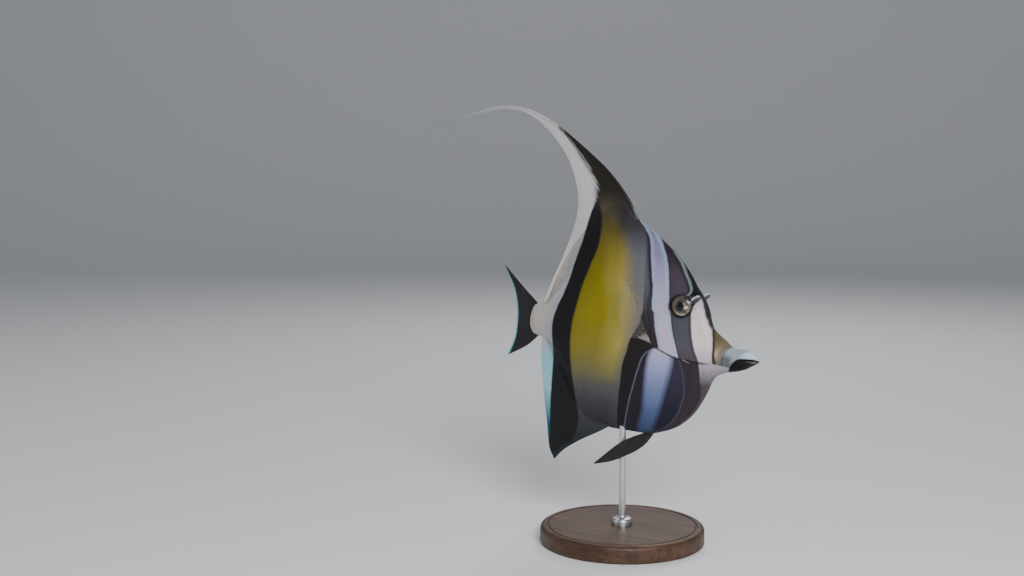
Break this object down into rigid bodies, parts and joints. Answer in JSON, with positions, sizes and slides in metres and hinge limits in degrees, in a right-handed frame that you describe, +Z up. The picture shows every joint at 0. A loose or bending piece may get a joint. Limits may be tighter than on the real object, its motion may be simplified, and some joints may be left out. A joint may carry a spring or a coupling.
{
  "type": "moorish idol fish model",
  "caption": "Life-size still model of a moorish idol fish with tall trailing dorsal fin, held over a round base by one rod.",
  "frame": {"origin": "centre of the underside of the stand's base, on the surface that the model stands on", "axes": "+X towards the fish's snout, +Y towards its left side, +Z up along the stand's rod"},
  "size_m": [0.2246, 0.096, 0.2545],
  "materials": {
    "skin": "scaled skin, satin",
    "fin": "rayed membrane, satin",
    "eye": "gloss",
    "stand_wood": "satin varnish",
    "stand_metal": "brushed"
  },
  "bodies": {
    "root": {"snout": "skin", "lower_jaw": "skin", "head": "skin", "gill_cover_right": "skin", "gill_cover_left": "skin", "trunk": "skin", "tail_stem": "skin", "eye_right": "eye", "eye_left": "eye", "horn_right": "skin", "horn_left": "skin", "dorsal_fin": "fin", "dorsal_streamer_front": "fin", "dorsal_streamer_end": "fin", "anal_fin": "fin", "caudal_fin": "fin", "pectoral_fin_right": "fin", "pectoral_fin_left": "fin", "pelvic_fin_right": "fin", "pelvic_fin_left": "fin", "stand_base": "stand_wood", "stand_rod": "stand_metal"}
  },
  "joints": []
}
